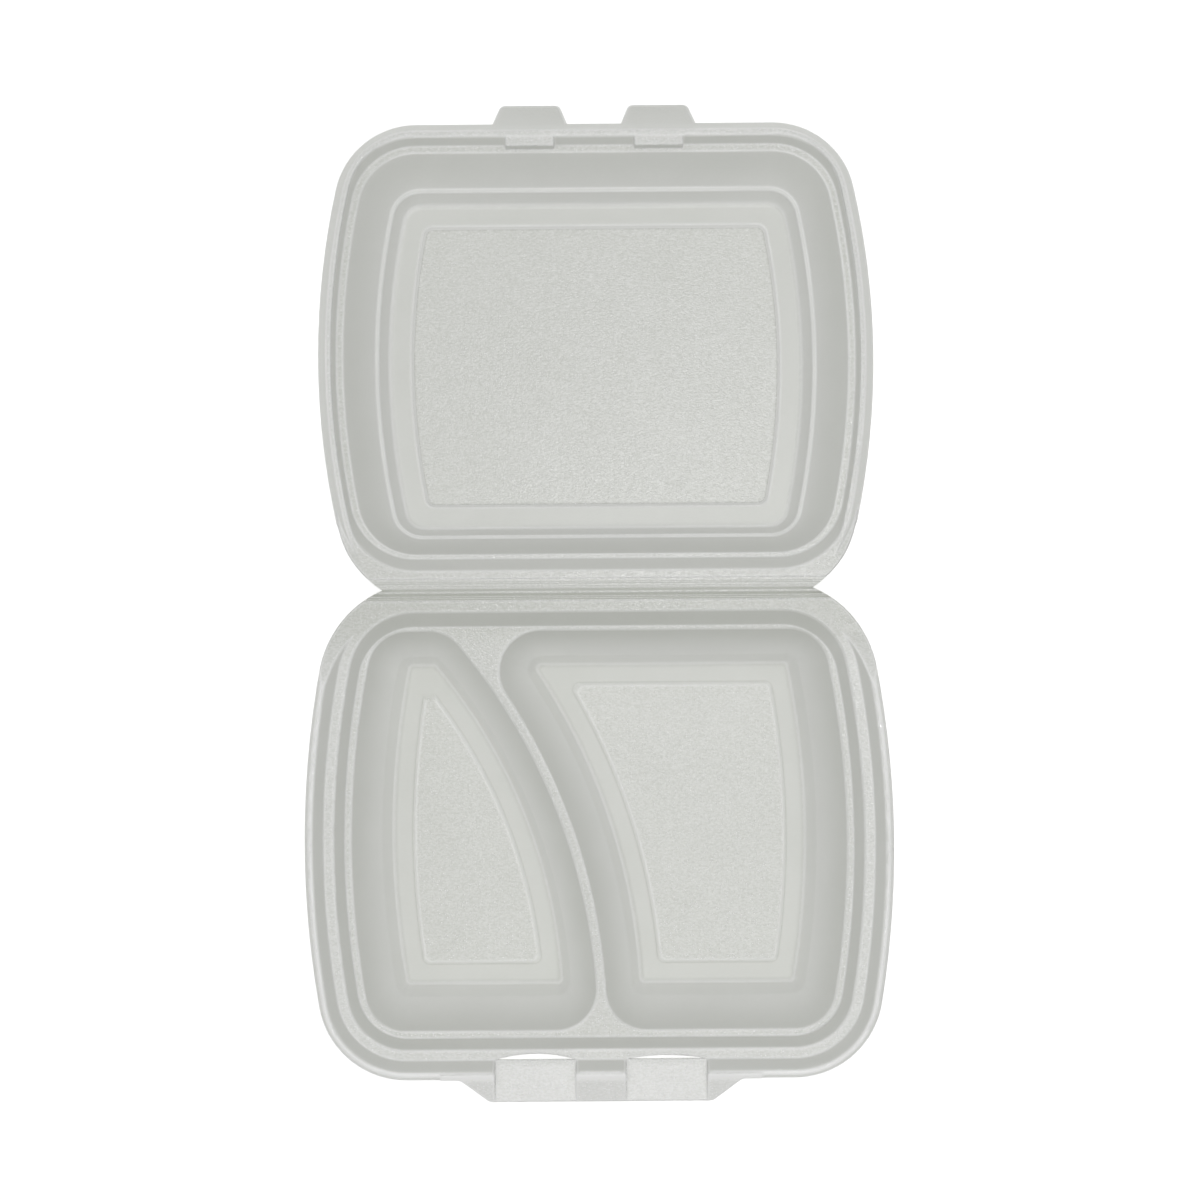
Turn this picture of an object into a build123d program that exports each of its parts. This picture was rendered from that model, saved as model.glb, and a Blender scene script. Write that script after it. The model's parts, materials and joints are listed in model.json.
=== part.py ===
"""Foam clamshell food container with a two-compartment tray and a hinged lid, in millimetres.

Both halves are modelled flat about the fold line, which runs along X at y = 0: the tray reaches to -Y and
the lid to +Y. The lid is then turned down about the hinge until it rests on the table, and both are moved
so that the middle of the open container stands on the origin, with the table at z = 0.
"""

from build123d import *
from math import asin, atan2, degrees, hypot, radians, tan
import os

# sheet
foam = 2.0  # thickness of the foam sheet
soft_edge = 1.2  # rounding of an edge that sticks out
soft_corner = 0.8  # rounding of the foot of a short step
closing_gap = 0.3  # between the seat and the lid's flange when closed

# tray: overall outline at the flange's outer edge
seat_height = 41.0  # the seat and the hinge web above the table
tray_half_width = 120.0
tray_front = -199.4
tray_rear = 3.2  # where the outline would end if the fold didn't cut it
tray_middle = -104.0  # where the bowed sides are widest
tray_bow = 394.0  # radius of the sides
tray_rear_corner = 42.0
tray_front_corner = 36.0

# tray: raised lip round the sides and the front
lip_rise = 5.5  # crest above the seat
lip_crest = 2.4  # from the outer edge in to the crest
lip_foot = 7.4  # from the outer edge in to the foot, where the seat begins
lip_droop = 2.5  # the outer edge below the crest
rim_start = 13.0  # how far from the fold the lid's skirt begins
lip_lead = 5.0  # the lip begins this much further from the fold, clear of the closed lid
rim_full = 42.0  # how far from the fold both have their whole height

# tray: step from the seat down to the ledge
step_drop = 7.0
step_top_inset = 11.4
step_foot_inset = 15.3
step_rear_top = -8.9
step_rear_foot = -15.2
step_rear_corner = 27.0

# tray: compartments, as insets from the ledge's inner edge
ledge_inset = 17.8
ledge_rear = -16.6
compartment_corner = 17.0
crease_drop = 20.0  # from the ledge down to where the walls get steeper
crease_inset = 11.2
floor_inset = 14.8
border = 9.5  # flat floor round the raised panel
panel_rise = 1.5
panel_slope = 1.3  # plan width of the panel's edge
panel_corner = 3.0
floor_corner = 2.5  # rounding where the wall meets the floor
crease_round = 4.0
hull_round = 3.0  # rounding round the outside of a floor

# tray: curved divider
divider_centre = (-247.0, -179.0)
divider_radius = 247.7
divider_half_top = 1.7

# tray: tongue, the two channels through the lip and their slits
tongue_reach = 9.8  # past the flange's outer edge
tongue_root_half = 57.4
tongue_tip_half = 45.5
tongue_round = 4.0
channel_inner = 10.2
channel_outer = 43.3
slit_openings = (2.4, 1.5)  # left, right

# lid: overall outline at the skirt's outer edge, which closes inside the tray's lip
lid_depth = 29.0
side_clearance = 1.4  # from the closed lid's rim to the foot of the lip
front_clearance = 0.7
lid_near = -7.5  # where the outline would end if the fold didn't cut it
lid_middle = 99.0
lid_bow = 330.0
lid_near_corner = 45.0
lid_far_corner = 34.0

# lid: skirt turned down round the flange
skirt_run = 3.6
skirt_drop = 4.2

# lid: levels of the hollow, as inset from the sides, near end, inset from the far end and corner
lid_step_depth = 5.0
lid_rib_depth = 17.5
lid_flange_edge = (4.2, 7.8, 6.3, 30.0)
lid_step_foot = (7.4, 13.4, 8.9, 27.0)
lid_ledge_edge = (10.1, 15.0, 11.7, 24.5)
lid_rib_top = (22.5, 23.0, 23.9, 13.0)
lid_rib_foot = (23.8, 24.2, 25.3, 11.8)
lid_floor_edge = (27.8, 28.0, 28.9, 8.0)
lid_border = 10.2

# lid: two tabs, which close into the channels, with a shelf behind each
tab_clearance = 1.05  # from a tab's root to each side of its channel
tab_taper = 3.3  # narrower on each side at the tip
tab_reach = 9.3  # plan length past the skirt
tab_slope = 30.0  # degrees below the lid's plane
tab_round = 2.5
shelf_width = 20.0
shelf_depth = 4.0

# hinge: grooves pressed across the web, as y and depth
grooves = ((-3.5, 0.7), (-2.0, 0.7), (1.1, 0.35), (2.9, 0.35))
groove_half = 0.55
fold_depth = 0.8  # the groove that the lid turns on
fold_gap = 0.45  # from the fold line to the lid's edge

# sizes that follow from these
ledge_height = seat_height - step_drop
crease_height = ledge_height - crease_drop
floor_height = foam
lip_start = -rim_start - lip_lead
lip_full = -rim_full
channel_width = channel_outer - channel_inner
channel_middle = (channel_outer + channel_inner) / 2
slit_y = tray_front + lip_foot
lid_half_width = tray_half_width - lip_foot - side_clearance + skirt_run
lid_far = -tray_front - lip_foot - front_clearance + skirt_run
lid_floor_depth = lid_depth - foam - panel_rise
lid_floor_far = lid_far - lid_floor_edge[2]
tab_root_width = channel_width - 2 * tab_clearance
tab_tip_width = tab_root_width - 2 * tab_taper


def bowed_outline(height, half_width, rear, front, middle, bow, rear_corner, front_corner):
    """A rounded rectangle with bowed sides, as a sketch at the given height."""
    side = half_width - bow
    with BuildSketch(Plane.XY.offset(height)) as outline:
        with Locations((side, middle)):
            Circle(bow)
        with Locations((-side, middle)):
            Circle(bow, mode=Mode.INTERSECT)
        with Locations((0, (rear + front) / 2)):
            Rectangle(4 * half_width, abs(rear - front), mode=Mode.INTERSECT)
        fillet(outline.vertices().group_by(Axis.Y)[-1], rear_corner)
        fillet(outline.vertices().group_by(Axis.Y)[0], front_corner)
    return outline


def sheet_shift(run, drop):
    """How far to the side a wall's other face lies, for a wall that falls by drop over run."""
    return foam * hypot(run, drop) / drop


def tray_outline(height, inset, rear, rear_corner):
    return bowed_outline(
        height,
        tray_half_width - inset,
        rear,
        tray_front + inset,
        tray_middle,
        tray_bow - inset,
        rear_corner,
        tray_front_corner - inset,
    )


def lid_outline(depth, level, grow=0.0):
    """One level of the lid's hollow, grown outwards for the outside of the shell."""
    side_inset, near, far_inset, corner = level
    return bowed_outline(
        seat_height - depth,
        lid_half_width - side_inset + grow,
        lid_far - far_inset + grow,
        near - grow,
        lid_middle,
        lid_bow - side_inset + grow,
        corner + grow,
        corner + grow,
    )


def compartment(side, height, inset, corner, rear_inset=None):
    """A compartment's outline: one bowed tray side, the curved divider, and straight ends."""
    half_width = tray_half_width - ledge_inset - inset
    bow = tray_bow - ledge_inset - inset
    rear = ledge_rear - (inset if rear_inset is None else rear_inset)
    front = tray_front + ledge_inset + inset
    with BuildSketch(Plane.XY.offset(height)) as outline:
        with Locations((side * (half_width - bow), tray_middle)):
            Circle(bow)
        with Locations(divider_centre):
            if side > 0:
                Circle(divider_radius + divider_half_top + inset, mode=Mode.SUBTRACT)
            else:
                Circle(divider_radius - divider_half_top - inset, mode=Mode.INTERSECT)
        with Locations((0, (rear + front) / 2)):
            Rectangle(4 * tray_half_width, rear - front, mode=Mode.INTERSECT)
        fillet(outline.vertices(), corner)
    return outline.sketch.face()


def faces_of(*outlines):
    return [outline.sketch.face() for outline in outlines]


def edges_at(part, height):
    """The edges of a part that lie wholly at one height."""
    return part.edges().filter_by_position(Axis.Z, height - 0.01, height + 0.01)


# ---------------------------------------------------------------- tray
side_run = step_foot_inset - step_top_inset
step_shift = sheet_shift(side_run, step_drop)
wall_shift = sheet_shift(crease_inset, crease_drop)
foot_run = floor_inset - crease_inset
foot_drop = crease_height - floor_height
foot_shift = sheet_shift(foot_run, foot_drop)


def compartment_hollow(side):
    with BuildPart() as hollow:
        loft(
            [
                compartment(side, ledge_height, 0, compartment_corner),
                compartment(side, crease_height, crease_inset, compartment_corner - crease_inset),
                compartment(side, floor_height, floor_inset, compartment_corner - floor_inset),
            ],
            ruled=True,
        )
        fillet(edges_at(hollow, floor_height), floor_corner)
        fillet(edges_at(hollow, crease_height), crease_round)
    return hollow.part


def compartment_hull(side):
    """The outside of a compartment, one sheet away from its hollow."""
    top_inset = crease_inset / crease_drop * foam - wall_shift
    crease_out = crease_inset - wall_shift
    floor_out = floor_inset + foot_run / foot_drop * foam - foot_shift
    with BuildPart() as hull:
        loft(
            [
                compartment(side, ledge_height - foam, top_inset, compartment_corner - top_inset),
                compartment(side, crease_height, crease_out, compartment_corner - crease_out),
                compartment(side, 0, floor_out, compartment_corner - floor_out),
            ],
            ruled=True,
        )
        fillet(edges_at(hull, 0), hull_round)
    return hull.part


def panel(side, height):
    """The raised part of a compartment's floor. In the fin-shaped one it runs to a point at the rear."""
    inset = floor_inset + border
    foot_inset = inset - panel_slope
    with BuildPart() as block:
        if side < 0:
            foot = compartment(side, height, foot_inset, panel_corner, rear_inset=0)
            top = compartment(side, height + panel_rise, inset, panel_corner, rear_inset=0)
        else:
            foot = compartment(side, height, foot_inset, panel_corner)
            top = compartment(side, height + panel_rise, inset, panel_corner)
        loft([foot, top], ruled=True)
    return block.part


hollows = [compartment_hollow(side) for side in (-1, 1)]
hulls = [compartment_hull(side) for side in (-1, 1)]
panels = [panel(side, floor_height) for side in (-1, 1)]
recesses = [panel(side, 0) for side in (-1, 1)]


def underside(points):
    """The lower face of a sheet whose upper face passes through the points, which run to the right."""
    normals = []
    for (x0, y0), (x1, y1) in zip(points, points[1:]):
        length = hypot(x1 - x0, y1 - y0)
        normals.append(((y1 - y0) / length, (x0 - x1) / length))
    lower = []
    for (x, y), (ax, ay), (bx, by) in zip(points, normals[:1] + normals, normals + normals[-1:]):
        reach = foam / (1 + ax * bx + ay * by)
        lower.append((x + (ax + bx) * reach, y + (ay + by) * reach))
    return lower


def sheet_bar(points, middle, width):
    """A strip of the sheet across the tray: its section in YZ, centred on x = middle."""
    with BuildPart() as bar:
        with BuildSketch(Plane.YZ.offset(middle)):
            with BuildLine():
                Polyline(*points, *reversed(underside(points)), close=True)
            make_face()
        extrude(amount=width / 2, both=True)
    return bar.part


def ramp_block(start, full, rise, low, high):
    """The space from low to high above a line that is flat to y = start and climbs by rise to y = full."""
    far = 4 * full
    far_height = seat_height + rise * (far - start) / (full - start)
    near = -full
    with BuildPart() as block:
        with BuildSketch(Plane.YZ):
            with BuildLine():
                Polyline(
                    (near, seat_height + low),
                    (start, seat_height + low),
                    (far, far_height + low),
                    (far, far_height + high),
                    (start, seat_height + high),
                    (near, seat_height + high),
                    close=True,
                )
            make_face()
        extrude(amount=2 * tray_half_width, both=True)
    return block.part


def rim_ring(outline, middle, corners, rounds):
    """A section carried round an outline: x runs inwards from the edge and y up from the seat plane."""
    path = outline.sketch.face().outer_wire()
    start = path @ 0
    inward = (Vector(0, 0, 1).cross(path % 0)).normalized()
    if inward.dot(Vector(0, middle, seat_height) - start) < 0:
        inward = -inward
    with BuildPart() as ring:
        with BuildSketch(Plane(origin=start, x_dir=inward, z_dir=inward.cross(Vector(0, 0, 1)))) as section:
            with BuildLine():
                Polyline(*corners, close=True)
            make_face()
            for corner, radius in rounds:
                fillet(section.vertices().sort_by_distance(corner)[0], radius)
        sweep(path=path)
    return ring.part


def fold_block(start):
    """Everything on the +Y side of y = start."""
    span = 4 * tray_half_width
    with BuildPart() as block:
        with BuildSketch(Plane.XY):
            with Locations((0, start + span / 2)):
                Rectangle(2 * span, span)
        extrude(amount=span, both=True)
    return block.part


def groove(place, depth):
    """A V pressed across the hinge web."""
    with BuildPart() as press:
        with BuildSketch(Plane.YZ):
            with BuildLine():
                Polyline(
                    (place - groove_half, seat_height + 0.01),
                    (place + groove_half, seat_height + 0.01),
                    (place, seat_height - depth),
                    close=True,
                )
            make_face()
        extrude(amount=tray_half_width, both=True)
    return press.part


# lip
lip_top = [(0, lip_rise - lip_droop), (lip_crest, lip_rise), (lip_foot, 0), (lip_foot + foam, 0)]
lip_under = underside(lip_top)
lip_rounds = [(lip_top[1], soft_edge)]
tray_edge = tray_outline(seat_height, 0, tray_rear, tray_rear_corner)

with BuildPart() as lip:
    add(rim_ring(tray_edge, tray_middle, lip_top + lip_under[::-1], lip_rounds))
    add(ramp_block(lip_start, lip_full, lip_rise, 0, 50), mode=Mode.SUBTRACT)

with BuildPart() as lip_end:
    add(rim_ring(tray_edge, tray_middle, lip_top + [(lip_foot + foam, -foam), (0, -foam)], lip_rounds))
    add(ramp_block(lip_start, lip_full, lip_rise, -foam, 0), mode=Mode.INTERSECT)

# tongue, with the solid that each channel is cut from
crest_y = tray_front + lip_crest
tongue_edge = tray_front - tongue_reach
tongue_line = [(tongue_edge, seat_height), (crest_y, seat_height + lip_rise)]

with BuildSketch(Plane.XY) as tongue_plan:
    with BuildLine():
        Polyline(
            (-tongue_root_half - 2 * tongue_round, slit_y),
            (-tongue_root_half - 2 * tongue_round, tray_front),
            (-tongue_root_half, tray_front),
            (-tongue_tip_half, tongue_edge),
            (tongue_tip_half, tongue_edge),
            (tongue_root_half, tray_front),
            (tongue_root_half + 2 * tongue_round, tray_front),
            (tongue_root_half + 2 * tongue_round, slit_y),
            close=True,
        )
    make_face()
    for x, y in ((tongue_root_half, tray_front), (tongue_tip_half, tongue_edge)):
        for side in (-1, 1):
            fillet(tongue_plan.vertices().sort_by_distance((side * x, y))[0], tongue_round)

with BuildPart() as tongue:
    add(sheet_bar(tongue_line, 0, 2 * tongue_root_half + 4 * tongue_round))
    for side in (-1, 1):
        with BuildSketch(Plane.YZ.offset(side * channel_middle)):
            with BuildLine():
                Polyline(
                    (slit_y, seat_height),
                    (crest_y, seat_height + lip_rise),
                    (tongue_edge, seat_height),
                    (tongue_edge, seat_height - foam),
                    (slit_y, seat_height - foam),
                    close=True,
                )
            make_face()
        extrude(amount=channel_width / 2 + foam, both=True)
    extrude(tongue_plan.sketch, amount=2 * seat_height, mode=Mode.INTERSECT)

with BuildPart() as flat_tray:
    # flange and seat
    extrude(tray_outline(seat_height, lip_foot, tray_rear, tray_rear_corner).sketch, amount=-foam)
    # outside of the step, then of both compartments
    step_grow = step_shift - side_run / step_drop * foam
    loft(
        faces_of(
            tray_outline(
                seat_height - foam,
                step_top_inset - step_grow,
                step_rear_top + step_grow,
                step_rear_corner,
            ),
            tray_outline(
                ledge_height - foam,
                step_foot_inset - step_grow,
                step_rear_foot + step_grow,
                step_rear_corner - side_run,
            ),
        ),
        ruled=True,
    )
    for hull in hulls:
        add(hull)
    # the hollow of the step, down to the ledge
    loft(
        faces_of(
            tray_outline(seat_height, step_top_inset, step_rear_top, step_rear_corner),
            tray_outline(ledge_height, step_foot_inset, step_rear_foot, step_rear_corner - side_run),
        ),
        ruled=True,
        mode=Mode.SUBTRACT,
    )
    for block in hollows + recesses:
        add(block, mode=Mode.SUBTRACT)
    for block in panels:
        add(block)
    for height in (seat_height, ledge_height):
        level = flat_tray.faces().filter_by_position(Axis.Z, height - 0.01, height + 0.01)
        fillet(level.sort_by(SortBy.AREA)[-1].inner_wires().edges(), soft_edge)
    # rim
    for block in (lip.part, lip_end.part, tongue.part):
        add(block)
    with BuildSketch(Plane.XY.offset(seat_height)):
        with GridLocations(2 * channel_middle, 0, 2, 1):
            with Locations((0, slit_y - tongue_reach)):
                Rectangle(channel_width, 2 * tongue_reach)
    extrude(amount=2 * lip_rise, mode=Mode.SUBTRACT)
    with BuildSketch(Plane.XY.offset(seat_height)):
        for side, opening in zip((-1, 1), slit_openings):
            ends = [(side * channel_inner, slit_y), (side * channel_outer, slit_y)]
            with BuildLine():
                Line(*ends)
                ThreePointArc(ends[0], (side * channel_middle, slit_y + opening), ends[1])
            make_face()
    extrude(amount=2 * foam, both=True, mode=Mode.SUBTRACT)
    # fold
    for place, depth in grooves:
        if place < 0:
            add(groove(place, depth), mode=Mode.SUBTRACT)
    add(groove(0, fold_depth), mode=Mode.SUBTRACT)
    add(fold_block(0), mode=Mode.SUBTRACT)


# ---------------------------------------------------------------- lid, flat at the seat plane
def lid_stage(upper_depth, upper, lower_depth, lower, outside):
    """One stage of the lid between two levels: its hollow, or the outside one sheet away from that."""
    grow = 0.0
    sink = 0.0
    if outside:
        run = lower[0] - upper[0]
        drop = lower_depth - upper_depth
        grow = sheet_shift(run, drop) - run / drop * foam
        sink = foam
    with BuildPart() as stage:
        loft(
            faces_of(
                lid_outline(upper_depth + sink, upper, grow),
                lid_outline(lower_depth + sink, lower, grow),
            ),
            ruled=True,
        )
    return stage.part


def lid_panel(sink):
    """The panel pressed down into the lid's floor."""
    side_inset, near, far_inset, _ = lid_floor_edge
    levels = []
    for depth, inset in ((0, lid_border - panel_slope), (panel_rise, lid_border)):
        corner = panel_corner + lid_border - inset
        level = (side_inset + inset, near + inset, far_inset + inset, corner)
        levels.append(lid_outline(lid_floor_depth + sink + depth, level))
    with BuildPart() as block:
        loft(faces_of(*levels), ruled=True)
    return block.part


def lid_rim(inset):
    return bowed_outline(
        seat_height,
        lid_half_width - inset,
        lid_far - inset,
        lid_near,
        lid_middle,
        lid_bow - inset,
        lid_far_corner - inset,
        lid_near_corner,
    )


skirt_top = [(0, -skirt_drop), (skirt_run, 0), (skirt_run + foam, 0)]
skirt_under = underside(skirt_top)
skirt_rounds = [(skirt_top[1], soft_edge)]
lid_edge = lid_rim(0)

with BuildPart() as skirt:
    add(rim_ring(lid_edge, lid_middle, skirt_top + skirt_under[::-1], skirt_rounds))
    add(ramp_block(rim_start, rim_full, -skirt_drop, -seat_height, -foam), mode=Mode.SUBTRACT)

with BuildPart() as skirt_end:
    add(rim_ring(lid_edge, lid_middle, [(0, 0), (skirt_run + foam, 0)] + skirt_under[::-1], []))
    add(ramp_block(rim_start, rim_full, -skirt_drop, -foam, 0), mode=Mode.INTERSECT)

# tabs
tab_edge = lid_far + tab_reach
tab_line = [
    (lid_far - skirt_run, seat_height),
    (lid_far, seat_height - skirt_drop),
    (tab_edge, seat_height - skirt_drop - tab_reach * tan(radians(tab_slope))),
]
with BuildSketch(Plane.XY) as tab_plan:
    for side in (-1, 1):
        middle = side * channel_middle
        with BuildLine():
            Polyline(
                (middle - tab_root_width / 2, lid_far - skirt_run),
                (middle - tab_root_width / 2, lid_far),
                (middle - tab_tip_width / 2, tab_edge),
                (middle + tab_tip_width / 2, tab_edge),
                (middle + tab_root_width / 2, lid_far),
                (middle + tab_root_width / 2, lid_far - skirt_run),
                close=True,
            )
        make_face()
    fillet(tab_plan.vertices().group_by(Axis.Y)[-1], tab_round)

with BuildPart() as tabs:
    for side in (-1, 1):
        add(sheet_bar(tab_line, side * channel_middle, tab_root_width))
    extrude(tab_plan.sketch, amount=2 * seat_height, mode=Mode.INTERSECT)

lid_stages = (
    (0.0, lid_flange_edge, lid_step_depth, lid_step_foot),
    (lid_step_depth, lid_ledge_edge, lid_rib_depth, lid_rib_top),
    (lid_rib_depth, lid_rib_foot, lid_floor_depth, lid_floor_edge),
)
with BuildPart() as flat_lid:
    extrude(lid_rim(skirt_run).sketch, amount=-foam)
    for stage in lid_stages:
        add(lid_stage(*stage, outside=True))
    fillet(edges_at(flat_lid, seat_height - lid_floor_depth - foam), hull_round)
    add(lid_panel(foam))
    for stage in lid_stages:
        add(lid_stage(*stage, outside=False), mode=Mode.SUBTRACT)
    fillet(edges_at(flat_lid, seat_height - lid_floor_depth), floor_corner)
    add(lid_panel(0), mode=Mode.SUBTRACT)
    level = flat_lid.faces().filter_by_position(Axis.Z, seat_height - 0.01, seat_height + 0.01)
    fillet(level.sort_by(SortBy.AREA)[-1].inner_wires().edges(), soft_edge)
    for block in (skirt.part, skirt_end.part, tabs.part):
        add(block)
    # shelves behind the tabs, hollow from outside
    shelf_edge = lid_far - lid_flange_edge[2] - shelf_depth
    with BuildSketch(Plane.XY.offset(seat_height)):
        with Locations((0, shelf_edge + shelf_depth / 2)):
            with GridLocations(2 * channel_middle, 0, 2, 1):
                Rectangle(shelf_width, shelf_depth)
    extrude(amount=-lid_step_depth)
    with BuildSketch(Plane.XY.offset(seat_height - foam)):
        with Locations((0, shelf_edge + foam + shelf_depth / 2)):
            with GridLocations(2 * channel_middle, 0, 2, 1):
                Rectangle(shelf_width - 2 * foam, shelf_depth)
    extrude(amount=foam - lid_step_depth, mode=Mode.SUBTRACT)
    for place, depth in grooves:
        if place > 0:
            add(groove(place, depth), mode=Mode.SUBTRACT)
    add(groove(0, fold_depth), mode=Mode.SUBTRACT)
    add(fold_block(-fold_gap).mirror(Plane.XZ), mode=Mode.SUBTRACT)

# ---------------------------------------------------------------- open, with the lid resting on the table
hinge_height = seat_height + closing_gap / 2
hinge = Axis((0, 0, hinge_height), (1, 0, 0))
# the lid touches the table along the far edge of its panel
touch_out = lid_floor_far - lid_border
touch_down = lid_depth + closing_gap / 2
droop = degrees(asin(hinge_height / hypot(touch_out, touch_down)) - atan2(touch_down, touch_out))
open_lid = flat_lid.part.rotate(hinge, -droop)
middle = (flat_tray.part.bounding_box().min.Y + open_lid.bounding_box().max.Y) / 2
centre = Location((0, -middle, 0))

os.makedirs("parts", exist_ok=True)

with BuildPart() as base_tray:
    add(flat_tray.part.moved(centre))
base_tray.part.label = "base_tray"
export_step(base_tray.part, "parts/base_tray.step")

with BuildPart() as lid:
    add(open_lid.moved(centre))
lid.part.label = "lid"
export_step(lid.part, "parts/lid.step")

print("the lid droops by", round(droop, 3), "degrees, and the fold line is at y =", round(-middle, 3))
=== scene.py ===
"""Foam clamshell food container, lying open with its lid back on the table. All sizes in metres."""

import json
import math

import bpy
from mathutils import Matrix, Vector


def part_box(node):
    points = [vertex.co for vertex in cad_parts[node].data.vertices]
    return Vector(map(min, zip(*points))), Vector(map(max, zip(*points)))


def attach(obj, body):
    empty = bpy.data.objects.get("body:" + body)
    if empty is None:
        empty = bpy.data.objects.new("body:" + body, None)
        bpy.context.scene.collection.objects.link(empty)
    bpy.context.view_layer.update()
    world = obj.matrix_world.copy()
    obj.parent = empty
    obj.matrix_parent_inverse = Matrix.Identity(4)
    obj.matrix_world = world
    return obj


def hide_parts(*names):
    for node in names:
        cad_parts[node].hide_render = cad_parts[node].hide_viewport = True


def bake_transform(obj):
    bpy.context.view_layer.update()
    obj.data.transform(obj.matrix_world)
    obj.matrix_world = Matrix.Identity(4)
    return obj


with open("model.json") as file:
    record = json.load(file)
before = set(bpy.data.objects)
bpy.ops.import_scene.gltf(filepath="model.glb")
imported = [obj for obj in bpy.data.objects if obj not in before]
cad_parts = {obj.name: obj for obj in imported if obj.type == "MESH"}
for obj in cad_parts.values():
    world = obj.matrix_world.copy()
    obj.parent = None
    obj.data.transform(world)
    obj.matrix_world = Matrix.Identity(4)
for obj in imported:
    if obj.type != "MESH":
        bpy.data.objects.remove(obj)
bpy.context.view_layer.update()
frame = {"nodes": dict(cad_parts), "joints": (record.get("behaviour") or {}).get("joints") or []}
joint = frame["joints"][0]
fold = Vector(joint["pos_m"])

# ---------------------------------------------------------------- tray
# The lower half of the box: a divided tray with a raised lip, a ledge round its mouth and a tongue at the
# front. It is one piece of expanded polystyrene sheet, 2 mm thick, drawn into a hot mould and trimmed.


class Value:
    """One output of a shader node, so that its maths can be written as an expression."""

    def __init__(self, tree, output):
        self.tree = tree
        self.output = output

    def maths(self, operation, *others):
        return node(self.tree, "ShaderNodeMath", {"operation": operation}, [self, *others])[0]

    def __add__(self, other):
        return self.maths("ADD", other)

    def __sub__(self, other):
        return self.maths("SUBTRACT", other)

    def __mul__(self, other):
        return self.maths("MULTIPLY", other)

    def __rsub__(self, other):
        return node(self.tree, "ShaderNodeMath", {"operation": "SUBTRACT"}, [other, self])[0]

    __radd__ = __add__
    __rmul__ = __mul__

    def between(self, low, high):
        """0 below low, 1 above high, and smooth in between."""
        inputs = {"Value": self, "From Min": low, "From Max": high}
        return node(self.tree, "ShaderNodeMapRange", {"interpolation_type": "SMOOTHSTEP"}, inputs)[0]


def node(tree, kind, settings=None, inputs=None):
    """Adds a node. Its settings come first, then the values or links of its sockets."""
    made = tree.nodes.new(kind)
    for name, value in (settings or {}).items():
        setattr(made, name, value)
    pairs = enumerate(inputs) if isinstance(inputs, list) else (inputs or {}).items()
    for key, value in pairs:
        socket = made.inputs[key]
        if isinstance(value, Value):
            tree.links.new(value.output, socket)
        else:
            socket.default_value = value
    return [Value(tree, output) for output in made.outputs]


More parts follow.
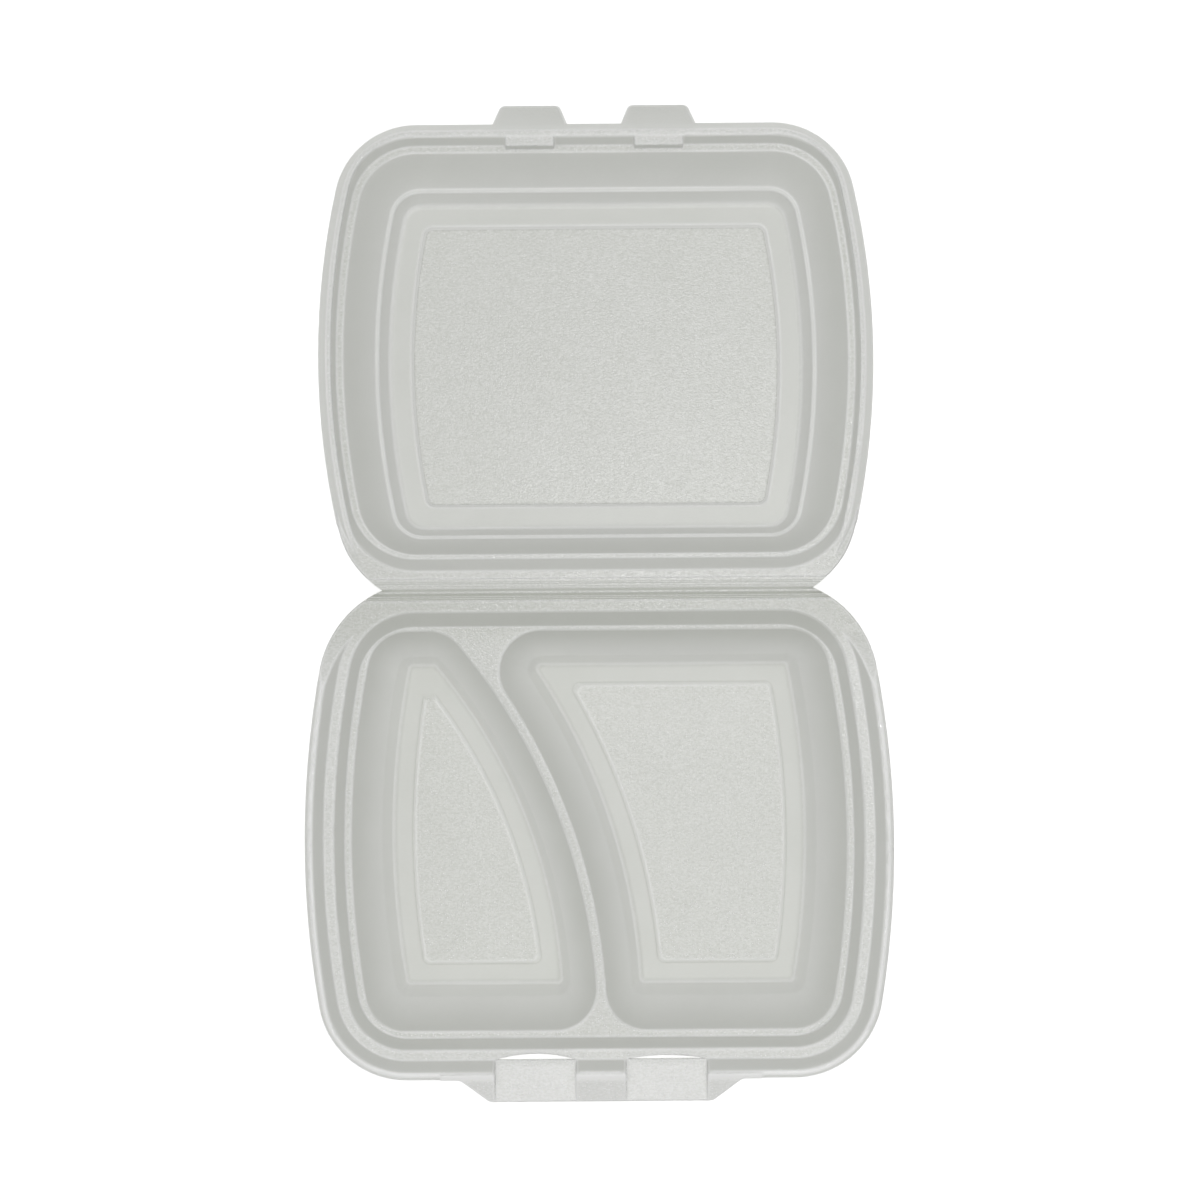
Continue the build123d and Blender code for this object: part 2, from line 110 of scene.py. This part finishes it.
def foam(name, up, rims, panel, panel_edge, slopes, painted_foot_shading, ease):
    """Expanded polystyrene: a thin skin over closed cells, grained where the mould pressed it flat.

    Heights are measured along up. Flats above rims are pressed, and so are the panels, which lie between the
    two heights of panel. Edges get a painted highlight above panel_edge and painted shade below it. The
    sloping walls get painted light that grows from the upper to the lower height of slopes by the given
    amount, and painted shade where that amount is negative. Edges look rounded to a radius of ease.
    """
    material = bpy.data.materials.new(name)
    material.use_nodes = True
    tree = material.node_tree
    tree.nodes.clear()

    # Height, how flat the surface lies, and how far it is from the middle of the open box towards the lid.
    place = node(tree, "ShaderNodeTexCoord")
    position, normal = place[3], place[1]
    level = node(tree, "ShaderNodeVectorMath", {"operation": "DOT_PRODUCT"}, {0: position, 1: up})[1]
    facing = node(tree, "ShaderNodeVectorMath", {"operation": "DOT_PRODUCT"}, {0: normal, 1: up})[1]
    facing = facing.maths("ABSOLUTE")
    flat = facing.between(0.8, 0.98)
    along = node(tree, "ShaderNodeSeparateXYZ", None, [position])[1]
    from_middle = along.maths("ABSOLUTE")

    # Flats that the mould pressed are grained: the panels, the rims, and the tabs and tongue at the ends.
    # The grain is coarser towards the tray's front, and its painted glints are denser there.
    pressed = level.between(panel[0] - 0.0003, panel[0]) * (1 - level.between(panel[1], panel[1] + 0.0003))
    rim = level.between(rims - 0.001, rims - 0.0004)
    ends = from_middle.between(0.185, 0.188)
    grained = flat * (pressed + rim.maths("MAXIMUM", ends))
    front_grain_and_sparkle = 1 - along.between(-0.17, -0.1)

    # Painted highlights on the seat, the tongue and the crest at the top of the tray's lip, and painted
    # shade on the sheet beside the fold. The foot of the sloping walls gets painted shading too.
    seat_highlight = flat * level.between(rims + 0.003, rims + 0.005) * from_middle.between(0.015, 0.03)
    tongue_highlight = (1 - along.between(-0.192, -0.189)) * facing.between(0.6, 0.9)
    crest_highlight = level.between(0.0445, 0.0462)
    fold_shade = along.between(-0.024, -0.008) * (1 - along.between(0.002, 0.0032))
    foot = (1 - level.between(slopes[0], slopes[1])) * (1 - flat)

    # An edge is where rounding it would turn the surface away from its true direction.
    eased = node(tree, "ShaderNodeBevel", {"samples": 4}, {"Radius": ease})[0]
    straight = node(tree, "ShaderNodeNewGeometry")[1]
    agreement = node(tree, "ShaderNodeVectorMath", {"operation": "DOT_PRODUCT"}, {0: eased, 1: straight})[1]
    edge = (1 - agreement).between(0.003, 0.025)
    # Edges above panel_edge get a painted highlight, and those below it get painted shade.
    above = level.between(panel_edge - 0.0003, panel_edge + 0.0002)
    edge_highlight = edge * above
    edge_shade = edge * (1 - above)

    # The sheet is drawn out along the hinge, and so are its cells. A smooth cell here and there gets a
    # painted glint, which is also raised in the bump; edges and the crest get them too.
    drawn = node(tree, "ShaderNodeMapping", None, {"Vector": position, "Scale": (0.65, 1.0, 1.0)})[0]
    cells = node(tree, "ShaderNodeTexVoronoi", {"feature": "F1"}, {"Vector": drawn, "Scale": 1900.0})
    blotches = node(
        tree,
        "ShaderNodeTexNoise",
        None,
        {"Vector": drawn, "Scale": 1200.0, "Detail": 2.5, "Roughness": 0.6},
    )[0]
    drifts = node(
        tree,
        "ShaderNodeTexNoise",
        None,
        {"Vector": position, "Scale": 45.0, "Detail": 3.0, "Roughness": 0.5},
    )[0]
    smooth_cells = node(tree, "ShaderNodeSeparateColor", None, [cells[1]])[0].between(0.84, 0.92)
    cell_middles = 1 - cells[0].between(0.25, 0.5)
    glints = smooth_cells * cell_middles * (grained * (front_grain_and_sparkle * 0.7 + 0.7) + edge_highlight * 0.6 + crest_highlight * 0.8)

    grain = grained * 0.85 + edge_highlight * 0.5 + 0.15
    height = (blotches * 1.4 - cells[0] * 0.6) * grain + glints * 1.6 + drifts * 1.5
    bump = node(
        tree,
        "ShaderNodeBump",
        None,
        {"Strength": 1.0, "Distance": 0.00008, "Height": height, "Normal": eased},
    )[0]

    # Grey to white with random drifts and blotches, plus painted highlights on edges, glints, crest, tongue
    # and seat, painted shade under edges and beside the fold, and painted shading at the foot of the walls.
    tone = (
        0.24
        + (drifts.between(0.3, 0.7) - 0.5) * 0.08
        + (blotches.between(0.35, 0.65) - 0.5) * (grained * 0.4 + 0.04)
        + glints
        + edge_highlight * 0.9
        - edge_shade * 0.25
        + crest_highlight * 0.5
        - fold_shade * 0.35
        + tongue_highlight * 0.35
        + seat_highlight * 0.25
        + foot * painted_foot_shading
    )
    tone = tone.maths("MAXIMUM", -0.8).maths("MINIMUM", 1.1)
    grey = (0.76, 0.773, 0.728, 1)
    white = (0.97, 0.975, 0.955, 1)
    paint = node(
        tree,
        "ShaderNodeMix",
        {"data_type": "RGBA", "clamp_factor": False},
        {0: tone, 6: grey, 7: white},
    )[2]

    # Painted highlights given as a glow: on upper edges, tongue and crest, and glints on the smooth cells.
    painted_glow = (
        edge_highlight * (0.11 - drifts.between(0.35, 0.65) * 0.05)
        + glints * (0.13 + front_grain_and_sparkle * 0.05)
        + tongue_highlight * 0.03
        + crest_highlight * 0.04
    )
    shader = node(
        tree,
        "ShaderNodeBsdfPrincipled",
        None,
        {
            "Base Color": paint,
            "Emission Color": node(tree, "ShaderNodeCombineColor", None, [painted_glow, painted_glow, painted_glow])[0],
            "Emission Strength": 1.0,
            "Roughness": 0.34 - grained * 0.17 + pressed * grained * 0.05 - edge_highlight * 0.1,
            "Specular IOR Level": 0.5,
            "Normal": bump,
        },
    )[0]
    node(tree, "ShaderNodeOutputMaterial", None, [shader])
    return material


def deselect():
    bpy.ops.object.select_all(action="DESELECT")


def work_on(piece):
    deselect()
    piece.select_set(True)
    bpy.context.view_layer.objects.active = piece


def sheet_copy(source, name, cut, side):
    """A copy of one moulded half with its triangles merged, cut off where the grooved web starts."""
    piece = bpy.data.objects.new(name, frame["nodes"][source].data.copy())
    bpy.context.scene.collection.objects.link(piece)
    work_on(piece)
    bpy.ops.object.mode_set(mode="EDIT")
    bpy.ops.mesh.select_all(action="SELECT")
    bpy.ops.mesh.customdata_custom_splitnormals_clear()
    bpy.ops.mesh.remove_doubles(threshold=1e-6)
    bpy.ops.mesh.bisect(
        plane_co=(0, cut, 0),
        plane_no=(0, side, 0),
        clear_outer=True,
        use_fill=True,
    )
    bpy.ops.object.mode_set(mode="OBJECT")
    bpy.ops.object.shade_smooth_by_angle(angle=math.radians(30))
    weighted = piece.modifiers.new("even_shading", "WEIGHTED_NORMAL")
    weighted.keep_sharp = True
    weighted.weight = 100
    bpy.ops.object.modifier_apply(modifier=weighted.name)
    return piece


sheet = 0.002
web_reach = 0.0044
edge_radius = 0.0017
tray_up = Vector((0, 0, 1))
tray_ledge = 0.0335
tray_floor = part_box("base_tray")[0].z + sheet

tray = sheet_copy("base_tray", "tray", fold.y - web_reach, 1)
tray.data.materials.clear()
tray_foam = foam(
    "tray_foam",
    up=tray_up,
    rims=tray_ledge,
    panel=(tray_floor + 0.001, tray_floor + 0.003),
    panel_edge=tray_floor + 0.0008,
    slopes=(0.01, 0.036),
    # Painted light at the foot of the walls.
    painted_foot_shading=0.6,
    ease=edge_radius,
)
tray.data.materials.append(tray_foam)
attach(tray, "base_tray")
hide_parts("base_tray")

# ---------------------------------------------------------------- lid
# The upper half of the box, opened right over. It has a skirt that nests inside the tray's lip, a stepped
# hollow with a pressed panel, and two tabs that lock into the tray's slits.

lid_tilt = math.radians(joint["range_deg"][1] - 180)
lid_up = Vector((0, math.sin(lid_tilt), math.cos(lid_tilt)))
lid_rim = fold.dot(lid_up) - 0.0001
lid_ledge = lid_rim - 0.006
lid_floor = lid_rim - 0.0255

lid = sheet_copy("lid", "lid_shell", fold.y + web_reach, -1)
lid.data.materials.clear()
lid_foam = foam(
    "lid_foam",
    up=lid_up,
    rims=lid_ledge,
    panel=(lid_floor - 0.003, lid_floor - 0.001),
    panel_edge=lid_floor - 0.0012,
    slopes=(lid_floor, lid_floor + 0.018),
    # Painted light at the foot of the walls.
    painted_foot_shading=0.5,
    ease=edge_radius,
)
lid.data.materials.append(lid_foam)
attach(lid, "lid")
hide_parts("lid")

# ---------------------------------------------------------------- hinge web
# The narrow band of the same sheet between tray and lid, where the real box folds. Grooves are pressed along
# it, and its shape runs from the tray's section to the lid's.

row_step = 0.0002


def section(source, place):
    """Half width, top and underside of a moulded half where the plane y = place cuts it."""
    mesh = frame["nodes"][source].data
    cuts = []
    for edge in mesh.edges:
        a, b = (mesh.vertices[i].co for i in edge.vertices)
        if (a.y - place) * (b.y - place) < 0:
            cuts.append(a.lerp(b, (place - a.y) / (b.y - a.y)))
    heights = [cut.z for cut in cuts]
    return max(cut.x for cut in cuts), max(heights), min(heights)


tray_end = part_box("base_tray")[1].y - row_step / 20
lid_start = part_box("lid")[0].y + 4 * row_step / 5
rows = round(2 * web_reach / row_step)
deselect()
bpy.ops.mesh.primitive_grid_add(x_subdivisions=24, y_subdivisions=rows, size=1, location=fold)
web = bpy.context.object
web.name = "hinge_web"
web.scale.y = 2 * web_reach
bpy.ops.object.transform_apply(location=True, rotation=True, scale=True)
bpy.ops.object.mode_set(mode="EDIT")
bpy.ops.mesh.select_all(action="SELECT")
bpy.ops.mesh.extrude_region_move(TRANSFORM_OT_translate={"value": (0, 0, -sheet)})
bpy.ops.mesh.select_all(action="SELECT")
bpy.ops.mesh.normals_make_consistent(inside=False)
bpy.ops.object.mode_set(mode="OBJECT")
found = {}
for vertex in web.data.vertices:
    at = vertex.co.y
    key = round((at - fold.y) / row_step)
    if key not in found:
        if at < tray_end:
            found[key] = section("base_tray", at)
        elif at > lid_start:
            found[key] = section("lid", at)
        else:
            before, after = section("base_tray", tray_end), section("lid", lid_start)
            share = (at - tray_end) / (lid_start - tray_end)
            found[key] = [a + (b - a) * share for a, b in zip(before, after)]
    half_width, top, below = found[key]
    vertex.co.x = 2 * vertex.co.x * half_width
    vertex.co.z = top if vertex.co.z > fold.z - sheet / 2 else below
work_on(web)
bpy.ops.object.shade_smooth_by_angle(angle=math.radians(50))
web_foam = foam(
    "web_foam",
    up=tray_up,
    rims=0.0405,
    panel=(0, 0.001),
    panel_edge=0,
    slopes=(0.0402, 0.0409),
    # Painted shade at the foot of the grooves.
    painted_foot_shading=-0.6,
    ease=0.0002,
)
web.data.materials.append(web_foam)
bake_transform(web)

# ---------------------------------------------------------------- camera, light and floor
# A plain white table under a soft dome of light that is dimmer towards the horizon, with two softboxes above
# that put a sheen on the flats. The camera looks straight down.

deselect()
bpy.ops.mesh.primitive_plane_add(size=6, location=(0, 0, 0))
table = bpy.context.object
table.name = "floor"
white = bpy.data.materials.new("white_table")
white.use_nodes = True
sockets = white.node_tree.nodes["Principled BSDF"].inputs
sockets["Base Color"].default_value = (0.9, 0.9, 0.9, 1)
sockets["Roughness"].default_value = 0.9
sockets["Emission Color"].default_value = (1, 1, 1, 1)
sockets["Emission Strength"].default_value = 0.48
table.data.materials.append(white)

world = bpy.data.worlds.new("studio")
world.use_nodes = True
direction = node(world.node_tree, "ShaderNodeTexCoord")[0]
across, along, upward = node(world.node_tree, "ShaderNodeSeparateXYZ", None, [direction])
background = world.node_tree.nodes["Background"].inputs
background["Color"].default_value = (1, 1, 1, 1)
sky = 0.18 + upward.between(0, 1) * 0.47 + along * 0.03 - across * 0.03
world.node_tree.links.new(sky.output, background["Strength"])
bpy.context.scene.world = world
bpy.context.scene.view_settings.view_transform = "Standard"


def softbox(name, place, target, size, power):
    light = bpy.data.lights.new(name, "AREA")
    light.shape = "RECTANGLE"
    light.size = size[0]
    light.size_y = size[1]
    light.energy = power
    lamp = bpy.data.objects.new(name, light)
    lamp.location = place
    lamp.rotation_euler = (Vector(target) - Vector(place)).to_track_quat("-Z", "Y").to_euler()
    bpy.context.scene.collection.objects.link(lamp)
    return lamp


softbox("front_light", (0.1, -0.58, 2.2), (0, 0, 0), (0.7, 0.3), 3.5)
softbox("far_light", (0.15, 0.33, 2.2), (0, 0, 0), (0.3, 0.2), 5.5)

camera = bpy.data.objects.new("camera", bpy.data.cameras.new("camera"))
camera.data.lens = 69.8
camera.data.sensor_width = 36
camera.location = (0.001, -0.0013, 0.991)
camera.rotation_euler = (0, 0, math.radians(-0.44))
bpy.context.scene.collection.objects.link(camera)
bpy.context.scene.camera = camera
